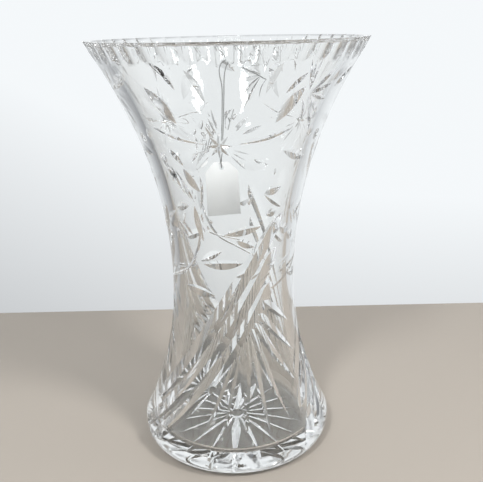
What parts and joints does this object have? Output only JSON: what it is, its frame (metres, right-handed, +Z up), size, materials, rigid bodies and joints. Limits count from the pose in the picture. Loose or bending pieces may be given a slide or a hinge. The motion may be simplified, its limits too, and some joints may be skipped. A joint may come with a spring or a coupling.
{
  "type": "cut crystal vase",
  "caption": "Tall hourglass vase of clear cut crystal with swirling mitre cuts, flowers and a star foot, with a blank strung tag inside.",
  "frame": {"origin": "centre of the foot, on the surface the vase stands on", "axes": "+Z up the vase's axis; the front, with the main flower, faces -Y; the tag hangs inside at +Y"},
  "size_m": [0.194, 0.1954, 0.3054],
  "materials": {
    "crystal": "clear lead crystal, polished, with ground and polished cuts",
    "tape": "clear adhesive film",
    "string": "thin twisted cotton string",
    "card": "uncoated white card, blank"
  },
  "bodies": {
    "vase": {"vase": "crystal", "rim_tape": "tape"},
    "string": {"tag_string": "string", "string_knot": "string", "string_tail": "string"},
    "tag": {"price_tag": "card"}
  },
  "joints": [
    {"name": "string_swing", "type": "hinge", "parent": "vase", "child": "string", "pos_m": [0.0005, 0.0768, 0.2867], "axis": [-1, 0, 0], "range_deg": [0, 35]},
    {"name": "tag_swing", "type": "hinge", "parent": "string", "child": "tag", "pos_m": [-0.0082, 0.0422, 0.2071], "axis": [-0.9816, -0.1908, 0], "range_deg": [0, 12]}
  ]
}
